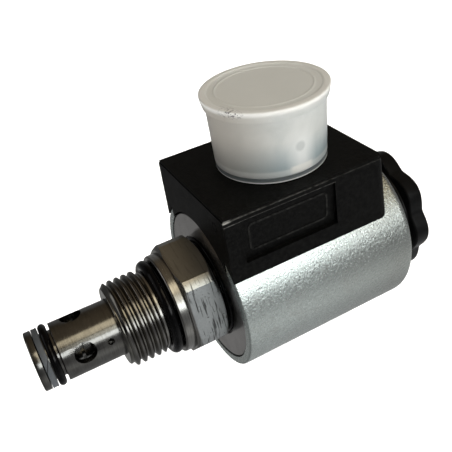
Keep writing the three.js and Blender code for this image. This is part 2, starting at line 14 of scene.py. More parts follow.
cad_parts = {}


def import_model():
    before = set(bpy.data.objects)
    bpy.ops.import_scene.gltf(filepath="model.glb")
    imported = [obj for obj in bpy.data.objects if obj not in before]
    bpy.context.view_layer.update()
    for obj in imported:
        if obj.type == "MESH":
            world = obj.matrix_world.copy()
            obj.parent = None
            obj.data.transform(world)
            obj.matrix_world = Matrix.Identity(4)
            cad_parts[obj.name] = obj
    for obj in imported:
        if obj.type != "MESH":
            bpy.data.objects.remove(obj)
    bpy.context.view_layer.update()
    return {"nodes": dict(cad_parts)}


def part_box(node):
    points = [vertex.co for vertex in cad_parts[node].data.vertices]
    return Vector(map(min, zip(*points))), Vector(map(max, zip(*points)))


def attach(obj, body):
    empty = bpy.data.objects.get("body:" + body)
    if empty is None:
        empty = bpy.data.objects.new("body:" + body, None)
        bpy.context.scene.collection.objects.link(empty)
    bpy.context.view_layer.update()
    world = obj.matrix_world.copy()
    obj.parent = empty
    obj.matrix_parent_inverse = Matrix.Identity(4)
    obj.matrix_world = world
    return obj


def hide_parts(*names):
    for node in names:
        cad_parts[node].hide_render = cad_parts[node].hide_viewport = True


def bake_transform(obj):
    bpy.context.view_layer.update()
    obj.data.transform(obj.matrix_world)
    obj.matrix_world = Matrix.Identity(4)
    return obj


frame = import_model()

MM = 0.001
AROUND = 128  # facets round a large turned piece
SMALL_AROUND = 48  # facets round holes and pins
RING_SECTION = 32  # facets round the section of a seal ring
CUT_PAST = 0.5  # how far a cutting solid runs past the face that it cuts
FULL_TURN = 360.0
SHARP_FROM = 34  # edges that turn by more than this many degrees look sharp


class Box:
    """The lowest and highest corners of a CAD node, in millimetres."""

    def __init__(self, node):
        low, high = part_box(node)
        self.x0, self.y0, self.z0 = (value / MM for value in low)
        self.x1, self.y1, self.z1 = (value / MM for value in high)


HEX_BOX = Box("hex_body")
SLEEVE_BOX = Box("valve_sleeve")
SHELL_BOX = Box("coil_shell")
PLATE_BOX = Box("front_pole_plate")
BLOCK_BOX = Box("terminal_housing")
CAP_BOX = Box("connector_cap")
NUT_BOX = Box("coil_nut")
INSERT_BOX = Box("nut_insert")
POPPET_BOX = Box("main_poppet")
POLE_BOX = Box("pole_piece")
SPRING_BOX = Box("return_spring")

# ---------- driving dimensions ----------
THREAD = Named(start=HEX_BOX.x0, end=-3.0, crest=8.95, root=8.1, pitch=1.5, phase=-9.7, phase_angle=35)
THREAD_CREST = Named(flat=0.15, break_width=0.1, break_drop=0.1, root_flat=0.12)
THREAD_ENDS = Named(lead_in=0.95, run_out=0.4)
LAND = Named(radius=8.2, end=-2.4)
NECK_RADIUS = 7.75
COLLAR = Named(radius=10.5, end=2.0, edge=0.45)
HEX = Named(half_flats=11.0, corner_radius=12.15, corner_angle=47, end=HEX_BOX.x1, edge=0.07)
HEX_CHAMFER = Named(front=0.5, front_radius=11.2, rear=1.1, rear_radius=10.3, roll=0.35)
BODY_BORE = Named(front=6.05, rear=9.05, step=0.65)

NOSE = Named(radius=5.91, tip_radius=5.99, throat=2.6, bore=4.0, seat=-20.6, seat_radius=3.0)
GROOVE = Named(start=-25.9, end=-22.45, radius=4.65)
SLEEVE_FLANGE = Named(start=0.75, end=SLEEVE_BOX.x1, radius=8.6)
PORT = Named(x=-18.05, radius=2.15, angle=17.5, count=4)
PILOT_HOLE = Named(x=-13.0, radius=0.665, angle=17.3)

COIL = Named(radius=SHELL_BOX.y1, wall=1.7, bore=9.05, corner=1.6, lip=0.45)
SLOT = Named(half_width=12.1, end=44.9, floor=8.0)
COIL_AROUND = 192  # facets round the coil's shell and the nut
PLATE_SEAL = Named(radius=11.1, depth=1.0)

BLOCK = Named(half_width=14.3, end=44.7, bottom=BLOCK_BOX.z0, top=24.0, corner=2.0, meets_shell=10.0)
DRAFT = Named(side=0.67, rear=0.8)  # how much further out the block's walls are at its bottom
BLOCK_SEAT = Named(shell=18.15, inner=16.45, key_half_width=11.9)
PARTING = Named(drop=0.5, step=0.16)
RECESS = Named(x0=13.1, x1=33.2, z0=13.7, z1=22.6, depth=0.45)
LABEL_FRAME = Named(margin=1.5, line=0.4, proud=0.08, corner=1.2, root=0.2)
EJECTOR = Named(y=-10.4, z=20.8, radius=0.9, line=0.16, depth=0.12)
PLINTH = Named(x=28.4, length=14.8, width=13.2, corner=2.5, top=28.4)
SCREW_HOLE = Named(radius=1.3, depth=5.0)
BLADES = ("contact_blade_front", "contact_blade_rear", "earth_blade")
BLADE_CLEARANCE = 0.12
BLADE_EDGE = 0.12

CAP = Named(x=28.4, root_radius=11.0, skirt_radius=11.4, skirt_top=36.6, lid_radius=12.25)
CAP_INSIDE = Named(radius=9.75, top=37.2)
CAP_LID = Named(border=11.0, recess=0.2, bead=9.3, bead_width=0.3)
CAP_FOOT = Named(height=1.1, wall=0.75)

NUT = Named(skirt=12.0, peak=14.2, valley=12.8, lobes=8, lobe_angle=-1, grip_start=54.0)
NUT_FACE_GROOVE = Named(outer=10.6, inner=7.5, depth=0.4)
NUT_BORE = Named(seal=11.0, seal_end=51.9, insert=8.1, lip=6.6, lip_start=56.7)
SPRING = Named(wire=0.33, mean=2.3, turns=6.5)
STUD = Named(crest=6.0, root=5.4, pitch=1.0, start=51.1, end=POLE_BOX.x1, phase=51.6, phase_angle=0)

SEALS = {
    "nose_o_ring": {"body": "cartridge", "x": -23.72, "mean": 5.52, "section": 0.77},
    "collar_o_ring": {"body": "cartridge", "x": -1.15, "mean": 9.0, "section": 1.08},
    "coil_front_o_ring": {"body": "coil", "x": 10.42, "mean": 10.0, "section": 0.66},
    "coil_rear_o_ring": {"body": "rear_seal", "x": 50.85, "mean": 9.95, "section": 0.84},
}
BACKUP = Named(start=-25.75, end=-24.65, bore=4.75, radius=6.06, gap_angle=25, gap=3.0, scarf=26)


# ---------- mesh making ----------
def mesh_object(name, points, faces):
    """A closed mesh from points in millimetres, with doubled points merged and its faces turned outwards."""
    mesh = bpy.data.meshes.new(name)
    mesh.from_pydata([Vector(point) * MM for point in points], [], faces)
    shell = bmesh.new()
    shell.from_mesh(mesh)
    merge_distance = 0.0005 * MM
    bmesh.ops.remove_doubles(shell, verts=shell.verts, dist=merge_distance)
    bmesh.ops.dissolve_degenerate(shell, edges=shell.edges, dist=merge_distance)
    bmesh.ops.recalc_face_normals(shell, faces=shell.faces)
    shell.to_mesh(mesh)
    shell.free()
    piece = bpy.data.objects.new(name, mesh)
    bpy.context.scene.collection.objects.link(piece)
    return piece


def round_the_axis(x, radius, degrees):
    angle = math.radians(degrees)
    return (x, -radius * math.cos(angle), radius * math.sin(angle))


def rounded(profile, steps=4):
    """Rounds the corners of a closed outline of (u, v) or (u, v, reach of the rounding) points."""
    points = []
    for i, (u, v, *reach) in enumerate(profile):
        here = Vector((u, v))
        if not reach:
            points.append(here)
            continue
        before = Vector(profile[i - 1][:2]) - here
        after = Vector(profile[(i + 1) % len(profile)][:2]) - here
        start = here + before.normalized() * min(reach[0], 0.49 * before.length)
        end = here + after.normalized() * min(reach[0], 0.49 * after.length)
        for k in range(steps + 1):
            t = k / steps
            points.append(start * (1 - t) ** 2 + here * 2 * t * (1 - t) + end * t * t)
    return points


def ring_faces(rows, columns):
    """Faces between rows of points, where the last row joins the first and so do a row's two ends."""
    faces = []
    for i in range(rows):
        for k in range(columns):
            here, there = i * columns, (i + 1) % rows * columns
            after = (k + 1) % columns
            faces.append((here + k, here + after, there + after, there + k))
    return faces


def strip_faces(columns, rows, closed):
    """Faces between neighbouring columns of points. A closed column's last point joins its first."""
    faces = []
    for k in range(columns - 1):
        here, there = k * rows, (k + 1) * rows
        for i in range(rows if closed else rows - 1):
            after = (i + 1) % rows
            faces.append((here + i, here + after, there + after, there + i))
    return faces


def capped_strip(name, points, columns, rows):
    """A closed bar whose section is repeated in every column."""
    ends = [tuple(range(rows)), tuple(range((columns - 1) * rows, columns * rows))]
    return mesh_object(name, points, ends + strip_faces(columns, rows, closed=True))


def turned(name, profile, around=AROUND, steps=4, place=round_the_axis):
    """A profile of (x, radius) points turned about the valve axis. Radius 0 closes it on the axis."""
    outline = rounded(profile, steps)
    points = []
    for point in outline:
        points += [place(point.x, point.y, FULL_TURN * k / around) for k in range(around)]
    return mesh_object(name, points, ring_faces(len(outline), around))


def turned_upright(name, profile, x, around=AROUND):
    """A profile of (radius, z) points turned about the upright line at x."""
    def place(radius, z, degrees):
        angle = math.radians(degrees)
        return (x + radius * math.cos(angle), radius * math.sin(angle), z)

    return turned(name, profile, around, place=place)


def between_outlines(name, first, second):
    """A solid between two outlines of the same number of points."""
    count = len(first)
    faces = [tuple(range(count)), tuple(range(count, 2 * count))]
    faces += [(k, (k + 1) % count, count + (k + 1) % count, count + k) for k in range(count)]
    return mesh_object(name, [*first, *second], faces)


def prism(name, outline, low, high, axis):
    """An outline drawn out from low to high along an axis. It holds (y, z), (x, z) or (x, y) points."""
    def place(u, v, w):
        return {"x": (w, u, v), "y": (u, w, v), "z": (u, v, w)}[axis]

    first = [place(u, v, low) for u, v in outline]
    second = [place(u, v, high) for u, v in outline]
    return between_outlines(name, first, second)


def box(name, x0, x1, y0, y1, z0, z1):
    return prism(name, [(x0, y0), (x1, y0), (x1, y1), (x0, y1)], z0, z1, "z")


def rounded_rectangle(cx, cy, length, width, corner):
    half_length, half_width = length / 2, width / 2
    corners = [(1, 1), (-1, 1), (-1, -1), (1, -1)]
    outline = [(cx + sx * half_length, cy + sy * half_width, corner) for sx, sy in corners]
    return [tuple(point) for point in rounded(outline, steps=6)]


def torus(name, x, mean, section):
    outline = []
    for k in range(RING_SECTION):
        angle = math.tau * k / RING_SECTION
        outline.append((x + section * math.cos(angle), mean + section * math.sin(angle)))
    return turned(name, outline)


def radial_drill(name, x, radius, degrees, reach):
    """A round cutter that points away from the axis."""
    angle = math.radians(degrees)
    outward = Vector((0, -math.cos(angle), math.sin(angle)))
    sideways = Vector((0, math.sin(angle), math.cos(angle)))
    circle = []
    for k in range(SMALL_AROUND):
        turn = math.tau * k / SMALL_AROUND
        across = Vector((math.cos(turn), 0, 0)) + sideways * math.sin(turn)
        circle.append(Vector((x, 0, 0)) + across * radius)
    inner = [point + outward for point in circle]
    outer = [point + outward * reach for point in circle]
    return between_outlines(name, inner, outer)


# ---------- mesh changing ----------
def apply_modifiers(piece):
    evaluated = piece.evaluated_get(bpy.context.evaluated_depsgraph_get())
    made = bpy.data.meshes.new_from_object(evaluated)
    piece.modifiers.clear()
    before = piece.data
    piece.data = made
    bpy.data.meshes.remove(before)


def combine(piece, tool, operation):
    """Cuts, joins or intersects piece with tool, and removes the tool."""
    change = piece.modifiers.new("combine", "BOOLEAN")
    change.operation = operation
    change.solver = "EXACT"
    change.object = tool
    apply_modifiers(piece)
    bpy.data.objects.remove(tool)
    return piece


def cut(piece, tool):
    return combine(piece, tool, "DIFFERENCE")


def join(piece, tool):
    return combine(piece, tool, "UNION")


def clean(piece, distance=0.004):
    """Merges points that a cut left within distance of each other."""
    shell = bmesh.new()
    shell.from_mesh(piece.data)
    bmesh.ops.remove_doubles(shell, verts=shell.verts, dist=distance * MM)
    bmesh.ops.dissolve_degenerate(shell, edges=shell.edges, dist=distance * MM)
    shell.to_mesh(piece.data)
    shell.free()
    return piece


def bevel(piece, width):
    edge = piece.modifiers.new("edge", "BEVEL")
    edge.width = width * MM
    edge.segments = 2
    edge.limit_method = "ANGLE"
    return edge


def soften(piece, width, angle):
    """Breaks every edge sharper than angle."""
    bevel(piece, width).angle_limit = math.radians(angle)
    apply_modifiers(piece)
    return clean(piece, 0.001)


def shade(piece):
    piece.data.shade_smooth()
    piece.data.set_sharp_from_angle(angle=math.radians(SHARP_FROM))
    normals = piece.modifiers.new("normals", "WEIGHTED_NORMAL")
    normals.keep_sharp = True
    return piece


def add(piece, body, material, slot, *nodes):
    """Shades a finished piece and puts it on its body in place of its CAD nodes."""
    shade(piece)
    piece.data.materials.clear()
    piece.data.materials.append(material)
    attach(piece, body)
    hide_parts(*nodes)
    return piece


# ---------- procedural finishes ----------
class Nodes:
    """The shader nodes of a material or a world."""

    def __init__(self, owner):
        owner.use_nodes = True
        self.nodes = owner.node_tree.nodes
        self.links = owner.node_tree.links

    def feed(self, socket, value):
        if isinstance(value, bpy.types.NodeSocket):
            self.links.new(value, socket)
        elif socket.type == "RGBA" and len(value) == 3:
            socket.default_value = (*value, 1.0)
        else:
            socket.default_value = value

    def add(self, kind, output, inputs, **settings):
        """Adds one node with these settings, feeds its inputs, and gives its output."""
        node = self.nodes.new("ShaderNode" + kind)
        for name, value in settings.items():
            setattr(node, name, value)
        for socket, value in inputs.items():
            self.feed(node.inputs[socket], value)
        return node.outputs[output]

    def split(self, vector):
        node = self.nodes.new("ShaderNodeSeparateXYZ")
        self.links.new(vector, node.inputs["Vector"])
        return node.outputs

    def between(self, value, low, high):
        """0 below low, 1 above high, and an even rise between them. It falls if low is above high."""
        return self.add("MapRange", "Result", {"Value": value, "From Min": low, "From Max": high})


class Finish(Nodes):
    """One procedural material. Its patterns are laid out in millimetres in the valve's own frame."""

    def __init__(self, name, **values):
        self.material = bpy.data.materials.new(name)
        super().__init__(self.material)
        self.shader = self.nodes["Principled BSDF"]
        for socket, value in values.items():
            self.shader.inputs[socket.replace("_", " ").title().replace("Ior", "IOR")].default_value = value
        self.place = self.scaled(self.add("TexCoord", "Object", {}), (1 / MM, 1 / MM, 1 / MM))

    def scaled(self, vector, scale, turn=(0, 0, 0)):
        angles = [math.radians(angle) for angle in turn]
        return self.add("Mapping", "Vector", {"Vector": vector, "Scale": scale, "Rotation": angles})

    def noise(self, scale, detail=3.0, stretch=(1, 1, 1), turn=(0, 0, 0), roughness=0.55, distortion=0.0):
        settings = {"Scale": scale, "Detail": detail, "Roughness": roughness, "Distortion": distortion}
        return self.add("TexNoise", "Fac", {"Vector": self.scaled(self.place, stretch, turn), **settings})

    def cells(self, scale):
        """A random value for each cell of a broken-up pattern."""
        return self.split(self.add("TexVoronoi", "Color", {"Vector": self.place, "Scale": scale}))["X"]

    def math(self, operation, first, second=0.0):
        return self.add("Math", "Value", {0: first, 1: second}, operation=operation)

    def times(self, first, *others):
        for other in others:
            first = self.math("MULTIPLY", first, other)
        return first

    def weighted(self, *terms):
        """The sum of (value, weight) terms."""
        total = self.times(*terms[0])
        for term in terms[1:]:
            total = self.math("ADD", total, self.times(*term))
        return total

    def largest(self, first, *others):
        for other in others:
            first = self.math("MAXIMUM", first, other)
        return first

    def distance(self, first, second):
        """How far away a point is whose two offsets are given."""
        squares = [self.math("POWER", offset, 2.0) for offset in (first, second)]
        return self.math("SQRT", self.math("ADD", *squares))

    def near(self, value, centre, reach, sharp):
        """1 within sharp of centre, and 0 further from it than reach."""
        away = self.math("ABSOLUTE", self.math("SUBTRACT", value, centre))
        return self.between(away, reach, sharp)

    def spread(self, value, low, high):
        """Maps 0..1 to low..high."""
        return self.add("MapRange", "Result", {"Value": value, "To Min": low, "To Max": high})

    def blend(self, factor, first, second):
        """A colour between two others."""
        return self.add("Mix", "Result", {"Factor": factor, "A": first, "B": second}, data_type="RGBA")

    def tint(self, colour, toward, *factors):
        """Moves colour towards another one by the product of the factors."""
        return self.blend(self.times(*factors), colour, toward)

    def bump(self, height, depth):
        """Raises the surface by height times depth millimetres."""
        return self.add("Bump", "Normal", {"Height": height, "Distance": depth * MM})

    def wire(self, colour, roughness, normal):
        for socket, value in (("Base Color", colour), ("Roughness", roughness), ("Normal", normal)):
            self.feed(self.shader.inputs[socket], value)
        return self.material


ROUND_X = (1.0, 0.06, 0.06)  # stretches a pattern round the valve axis
SCRATCH_STRETCH = (1.0, 0.08, 0.08)
DRAWN_STRETCH = (0.05, 1.0, 1.0)  # stretches a pattern along the valve axis


def turned_metal(name, dark, bright, roughness, mark_depth, stain):
    """Lathe-turned metal: fine rings round the axis, faint stains, and roughness that follows both."""
    look = Finish(name, metallic=1.0)
    rings = look.noise(7.0, 4.0, ROUND_X)
    fine_rings = look.noise(22.0, 2.0, ROUND_X)
    cloud = look.noise(0.35, 4.0, distortion=0.6)
    specks = look.between(look.noise(3.2), 0.64, 0.74)
    colour = look.blend(look.between(rings, 0.3, 0.7), dark, bright)
    colour = look.tint(colour, stain, look.between(cloud, 0.45, 0.75), 0.4)
    colour = look.tint(colour, stain, specks, 0.35)
    rough = look.spread(look.weighted((rings, 0.6), (cloud, 0.4)), roughness - 0.1, roughness + 0.12)
    marks = look.bump(look.weighted((rings, 1.0), (fine_rings, 0.5)), mark_depth)
    return look.wire(colour, rough, marks)


HEX_TONES = Named(
    ring_dark=(0.24, 0.237, 0.225), ring_bright=(0.37, 0.366, 0.35), stain=(0.14, 0.115, 0.09),
    # Painted shade: dark colours for the thread's flanks and roots and for its crest flats.
    flank=(0.16, 0.157, 0.138), crest=(0.1, 0.097, 0.09), flat_dark=(0.52, 0.55, 0.56),
    # Painted shade on the next line: the darker, browner colour of the hexagon's upper flat.
    flat_bright=(0.78, 0.82, 0.83), upper_flat=(0.4, 0.39, 0.36), scratch=(0.06, 0.06, 0.06),
)
# Painted shade: above these heights the hexagon's top flat is coloured darker and browner.
SHADED_UPPER_FLAT = (8.6, 9.3)  # the heights over which the hexagon's lower flats give way to the upper one


def hex_steel():
    """Plated steel: turning rings, dark scratches and pits, and painted shade in the thread and on the top
    flat.
    """
    look = Finish("hex_steel", metallic=1.0)
    tone, place, crest_radius = HEX_TONES, look.split(look.place), THREAD.crest
    radius = look.distance(place["Y"], place["Z"])
    on_hex = look.between(place["X"], COLLAR.end + 0.3, COLLAR.end + 0.6)
    on_thread = look.between(place["X"], THREAD.end + 0.1, THREAD.end - 0.1)
    # Painted shade: this masks the hexagon's upper flat, which is coloured darker and also gets fewer
    # scratches.
    shaded_upper_flat = look.between(place["Z"], *SHADED_UPPER_FLAT)
    rings = look.noise(6.0, 4.0, ROUND_X)
    cloud = look.noise(0.45, 4.0, distortion=0.5)
    # Painted shade: these mask the thread's flanks and roots, then its crest flats, to colour them darker,
    # leaving the crest edges as bright lines.
    flank = look.between(radius, crest_radius - 0.1, crest_radius - 0.22)
    crest = look.between(radius, crest_radius - 0.03, crest_radius - 0.015)
    scratches = look.between(look.noise(2.4, 2.0, SCRATCH_STRETCH, turn=(0, 5, 3)), 0.58, 0.64)
    pits = look.between(look.noise(1.9), 0.66, 0.7)
    wear = look.times(look.largest(scratches, pits), on_hex, look.spread(shaded_upper_flat, 1.0, 0.25))
    flats = look.blend(look.noise(2.6, 5.0), tone.flat_dark, tone.flat_bright)
    # Painted shade: the upper flat turns darker and browner.
    flats = look.tint(flats, tone.upper_flat, shaded_upper_flat)
    colour = look.blend(look.between(rings, 0.3, 0.7), tone.ring_dark, tone.ring_bright)
    colour = look.tint(colour, tone.stain, look.between(cloud, 0.5, 0.75), 0.4)
    # Painted shade: darker thread flanks and roots, then darker crest flats.
    colour = look.tint(colour, tone.flank, flank, on_thread, 0.75)
    colour = look.tint(colour, tone.crest, crest, on_thread, 0.6)
    colour = look.tint(colour, flats, on_hex, 0.85)
    colour = look.tint(colour, tone.scratch, wear, 0.8)
    rough = look.spread(look.weighted((on_hex, 0.5), (cloud, 0.4)), 0.14, 0.5)
    grain = look.times(look.noise(3.5, 5.0), on_hex)
    surface = look.weighted((rings, 0.4), (wear, -1.2), (grain, 1.5))
    return look.wire(colour, rough, look.bump(surface, 0.014))


ZINC_TONES = Named(
    dark=(0.64, 0.7, 0.68), bright=(0.84, 0.92, 0.9), dull=(0.6, 0.6, 0.57), rear=(0.42, 0.435, 0.41),
    drawn=(0.36, 0.37, 0.38),
)
ZINC_DARKENS = (20.0, 46.0)  # the stretch of the axis over which the shell turns darker towards the nut


def zinc_plate():
    """Zinc-plated drawn steel: a mottled spangle with dull and bright grains, and a few drawn scratches."""
    look = Finish("zinc_plate", metallic=1.0)
    tone = ZINC_TONES
    spangle = look.noise(2.1, 6.0, roughness=0.64, distortion=0.6)
    grains = look.cells(2.6)
    broad = look.between(look.noise(0.16), 0.5, 0.72)
    rearward = look.between(look.split(look.place)["X"], *ZINC_DARKENS)
    drawn = look.between(look.noise(1.4, 2.0, DRAWN_STRETCH), 0.66, 0.72)
    colour = look.blend(look.between(spangle, 0.35, 0.65), tone.dark, tone.bright)
    colour = look.tint(colour, tone.dull, broad, 0.35)
    colour = look.tint(colour, tone.rear, rearward, 0.7)
    colour = look.tint(colour, tone.drawn, drawn, 0.25)
    rough = look.spread(look.weighted((spangle, 0.6), (grains, 0.3)), 0.16, 0.4)
    return look.wire(colour, rough, look.bump(spangle, 0.1))


def plated_disc():
    """The front plate: cloudy plating with dark specks."""
    look = Finish("plated_disc", metallic=1.0)
    specks = look.noise(2.5, 4.0)
    cloud = look.noise(0.25, 4.0, distortion=0.8)
    colour = look.blend(look.between(cloud, 0.35, 0.7), (0.5, 0.482, 0.476), (0.4, 0.384, 0.38))
    colour = look.tint(colour, (0.12, 0.11, 0.1), look.between(specks, 0.62, 0.7), 0.3)
    return look.wire(colour, look.spread(cloud, 0.16, 0.3), look.bump(specks, 0.004))


def plain_metal(name, dark, bright, roughness, grain=3.0, depth=0.006):
    """Drawn, pressed or ground metal for the small inner pieces."""
    look = Finish(name, metallic=1.0)
    pattern = look.noise(grain, 4.0, distortion=0.3)
    colour = look.blend(look.between(pattern, 0.3, 0.7), dark, bright)
    rough = look.spread(pattern, roughness - 0.08, roughness + 0.12)
    return look.wire(colour, rough, look.bump(pattern, depth))


def wound_wire():
    """Copper winding: enamelled turns that lie side by side round the bobbin."""
    look = Finish("wound_wire", metallic=1.0)
    turns = look.add("TexWave", "Fac", {"Vector": look.place, "Scale": 0.55}, bands_direction="X")
    tone = look.noise(0.6)
    colour = look.blend(tone, (0.42, 0.14, 0.06), (0.62, 0.26, 0.11))
    return look.wire(colour, look.spread(tone, 0.28, 0.45), look.bump(turns, 0.12))


def moulding(name, dark, light, roughness, grain_depth=0.012, dust=0.25, specular=0.5):
    """Moulded plastic: fine grain, cloudy gloss, and pale specks of dust."""
    look = Finish(name, specular_ior_level=specular)
    grain = look.noise(4.5, 4.0)
    cloud = look.noise(0.3, 4.0, distortion=0.5)
    specks = look.between(look.noise(2.4, 5.0, roughness=0.7), 0.66, 0.74)
    colour = look.blend(look.between(cloud, 0.3, 0.75), dark, light)
    colour = look.tint(colour, [4 * value for value in light], specks, dust)
    rough = look.spread(look.weighted((cloud, 0.7), (grain, 0.3)), roughness - 0.1, roughness + 0.12)
    return look.wire(colour, rough, look.bump(grain, grain_depth))


def block_moulding():
    """The housing's black plastic with pale dust specks, and pale lines painted as highlights on the parting
    line, the recess's top edge and the raised border.
    """
    look = Finish("black_moulding", specular_ior_level=0.11)
    place = look.split(look.place)
    along, height = place["X"], place["Z"]
    beside = look.math("ABSOLUTE", place["Y"])
    grain = look.noise(4.5, 4.0)
    cloud = look.noise(0.3, 4.0, distortion=0.5)
    mottle = look.noise(1.3, 5.0, roughness=0.7)
    patchy = look.between(look.noise(1.1, 4.0), 0.3, 0.62)
    specks = look.between(look.noise(2.4, 5.0, roughness=0.7), 0.69, 0.75)
    outer = look.between(beside, BLOCK.half_width - 0.3, BLOCK.half_width - 0.1)
    # How strong the painted highlight on the parting line is: faint at the rear, stronger at the front.
    fade = look.spread(look.between(along, BLOCK_BOX.x1 - 3, BLOCK_BOX.x0 + 3), 0.08, 0.3)
    front_end = look.between(along, BLOCK_BOX.x0 + 1.8, BLOCK_BOX.x0 + 1.0)
    over_recess = look.between(along, RECESS.x1 + 0.2, RECESS.x1)
    parting = BLOCK.top - PARTING.drop
    border_face = BLOCK.half_width - RECESS.depth + LABEL_FRAME.proud
    # Painted highlights: a pale line along the parting line, broken up in patches and brightest at the front
    # end, one along the recess's top edge, and the raised border's face. The last term is pale dust specks.
    painted_highlights_and_dust = look.largest(
        look.times(look.near(height, parting, 0.16, 0.16 / 3), outer, patchy, fade),
        look.times(look.near(height, parting, 0.3, 0.1), outer, front_end),
        look.times(look.near(height, RECESS.z1, 0.12, 0.04), outer, patchy, over_recess, 0.3),
        look.times(look.near(beside, border_face, 0.04, 0.01), patchy, 0.05),
        look.times(specks, 0.1),
    )
    colour = look.blend(look.between(mottle, 0.4, 0.72), (0.0005, 0.0005, 0.0005), (0.0055, 0.0057, 0.0055))
    # The pale colour paints those highlights and the dust specks.
    colour = look.tint(colour, (0.3, 0.3, 0.29), painted_highlights_and_dust)
    rough = look.spread(look.weighted((cloud, 0.7), (grain, 0.3)), 0.4, 0.6)
    return look.wire(colour, rough, look.bump(look.math("ADD", grain, mottle), 0.04))


def seal_rubber():
    """Oiled black rubber: near black, with small sharp highlights."""
    look = Finish("seal_rubber", specular_ior_level=0.15)
    wet = look.noise(0.8)
    fine = look.noise(5.0)
    colour = look.blend(look.between(fine, 0.5, 0.8), (0.0015, 0.0015, 0.0018), (0.004, 0.004, 0.0045))
    return look.wire(colour, look.spread(wet, 0.06, 0.2), look.bump(fine, 0.004))


CAP_TONES = Named(
    # These tones include painted light: a darker bluish shade low on the skirt, a warm reflection on the
    # left, and pale highlights.
    shade=(0.66, 0.69, 0.68), milk=(0.78, 0.8, 0.79), low=(0.34, 0.44, 0.48), left=(0.56, 0.51, 0.44),
    hem=(0.92, 0.93, 0.92), glow=(0.97, 0.99, 0.99), patch=(1.0, 1.0, 0.96), gate=(0.5, 0.54, 0.54),
    # Painted highlight on this line: the near-white colour of the cap's bottom edge.
    lid=(0.8, 0.81, 0.79), rim=(0.87, 0.87, 0.85), foot=(0.2, 0.225, 0.24), edge=(0.95, 0.97, 0.97),
    smudge=(0.05, 0.035, 0.05),
)
GATE_MARK = Named(z=30.6, radius=1.2, core=0.7)
SMUDGE = Named(x=18.0, z=38.3)
CLEARNESS = Named(  # the wall's transmission, and what the lid and the edge take off it
    wall=0.42, lid=-0.32,
)


def cap_plastic():
    """Milky polythene: darker in the thin foot, with a smudge and a gate mark, and painted light: shade low
    on the skirt, a warm reflection on the left, and highlights on the front and bottom edge.
    """
    look = Finish("cap_plastic", specular_ior_level=0.5, ior=1.4)
    tone, place, middle, near = CAP_TONES, look.split(look.place), CAP.x, look.near
    along, height = place["X"], place["Z"]
    bottom, top = CAP_BOX.z0, CAP_BOX.z1
    foot_top = bottom + CAP_FOOT.height
    from_centre = look.math("SUBTRACT", along, middle)
    milky = look.between(height, foot_top - 0.15, foot_top + 0.1)
    lid = look.between(height, top - 1.2, top - 0.3)
    # Painted highlight: a bright line along the cap's bottom edge, which is also made less clear.
    edge = look.between(height, bottom + 0.35, bottom + 0.2)
    # Painted shade: the skirt turns darker and bluer towards the bottom, where the dark inside shows through.
    low = look.between(height, bottom + 8.0, bottom + 3.0)
    # Painted reflection: the cap's left side is tinted warm, as the brown room reflected in it.
    left = look.between(along, middle - 4.0, middle - 11.0)
    front = look.between(place["Y"], -2.0, -6.0)
    hem = near(height, foot_top + 0.6, 0.9, 0.5)
    # Painted highlight: a soft pale band up the front of the skirt, right of the middle.
    glow = look.times(near(along, middle + 0.3, 3.4, 0.6), front, near(height, 28.5, 6.0, 2.5))
    # Painted highlight: a bright patch low on the front of the skirt.
    patch = look.times(near(along, middle + 0.2, 2.6, 1.8), near(height, 26.2, 0.9, 0.5), front)
    from_gate = look.distance(from_centre, look.math("SUBTRACT", height, GATE_MARK.z))
    gate = look.times(look.between(from_gate, GATE_MARK.radius, GATE_MARK.core), front)
    from_axis = look.distance(from_centre, place["Y"])
    rim = look.times(look.between(from_axis, CAP_LID.border - 0.1, CAP_LID.border + 0.2), lid)
    scuffs = look.between(look.noise(1.9, 5.0, (1.0, 1.0, 2.0), roughness=0.7), 0.53, 0.58)
    spot = look.times(near(along, SMUDGE.x, 1.5, 0.7), near(height, SMUDGE.z, 0.9, 0.4), front)
    cloud = look.noise(0.22, 4.0, distortion=0.7)
    streaks = look.noise(0.5, 4.0, (1.0, 1.0, 0.2))
    colour = look.blend(look.between(cloud, 0.3, 0.7), tone.shade, tone.milk)
    # These layers paint light too: shade low on the skirt, a warm reflection on the left, and two pale
    # highlights on the front.
    layers = (
        (tone.low, low, 0.8), (tone.left, left, 0.7), (tone.hem, hem, 0.5), (tone.glow, glow, 0.75),
        (tone.patch, patch, 0.8), (tone.gate, gate, 0.6), (tone.lid, lid, 0.85), (tone.rim, rim, 0.9),
    )
    for toward, where, strength in layers:
        colour = look.tint(colour, toward, where, strength)
    colour = look.blend(milky, tone.foot, colour)
    # Painted highlight along the bottom edge.
    colour = look.tint(colour, tone.edge, edge)
    colour = look.tint(colour, tone.smudge, scuffs, spot)
    opaque = look.times(look.largest(lid, edge), CLEARNESS.lid)
    look.feed(look.shader.inputs["Transmission Weight"], look.math("ADD", opaque, CLEARNESS.wall))
    return look.wire(colour, look.spread(streaks, 0.24, 0.44), look.bump(streaks, 0.02))


def floor_finish():
    look = Finish("pale_floor", roughness=0.8, specular_ior_level=0.2)
    tone = look.blend(look.noise(0.02, 2.0), (0.86, 0.86, 0.86), (0.89, 0.89, 0.885))
    look.feed(look.shader.inputs["Base Color"], tone)
    return look.material


TURNED_STEEL = turned_metal(
    "turned_steel", (0.16, 0.159, 0.15), (0.23, 0.228, 0.219), 0.17, 0.004, stain=(0.1, 0.085, 0.065),
)
GROUND_STEEL = plain_metal("ground_steel", (0.6, 0.59, 0.57), (0.76, 0.75, 0.73), 0.2, 5.0, 0.003)
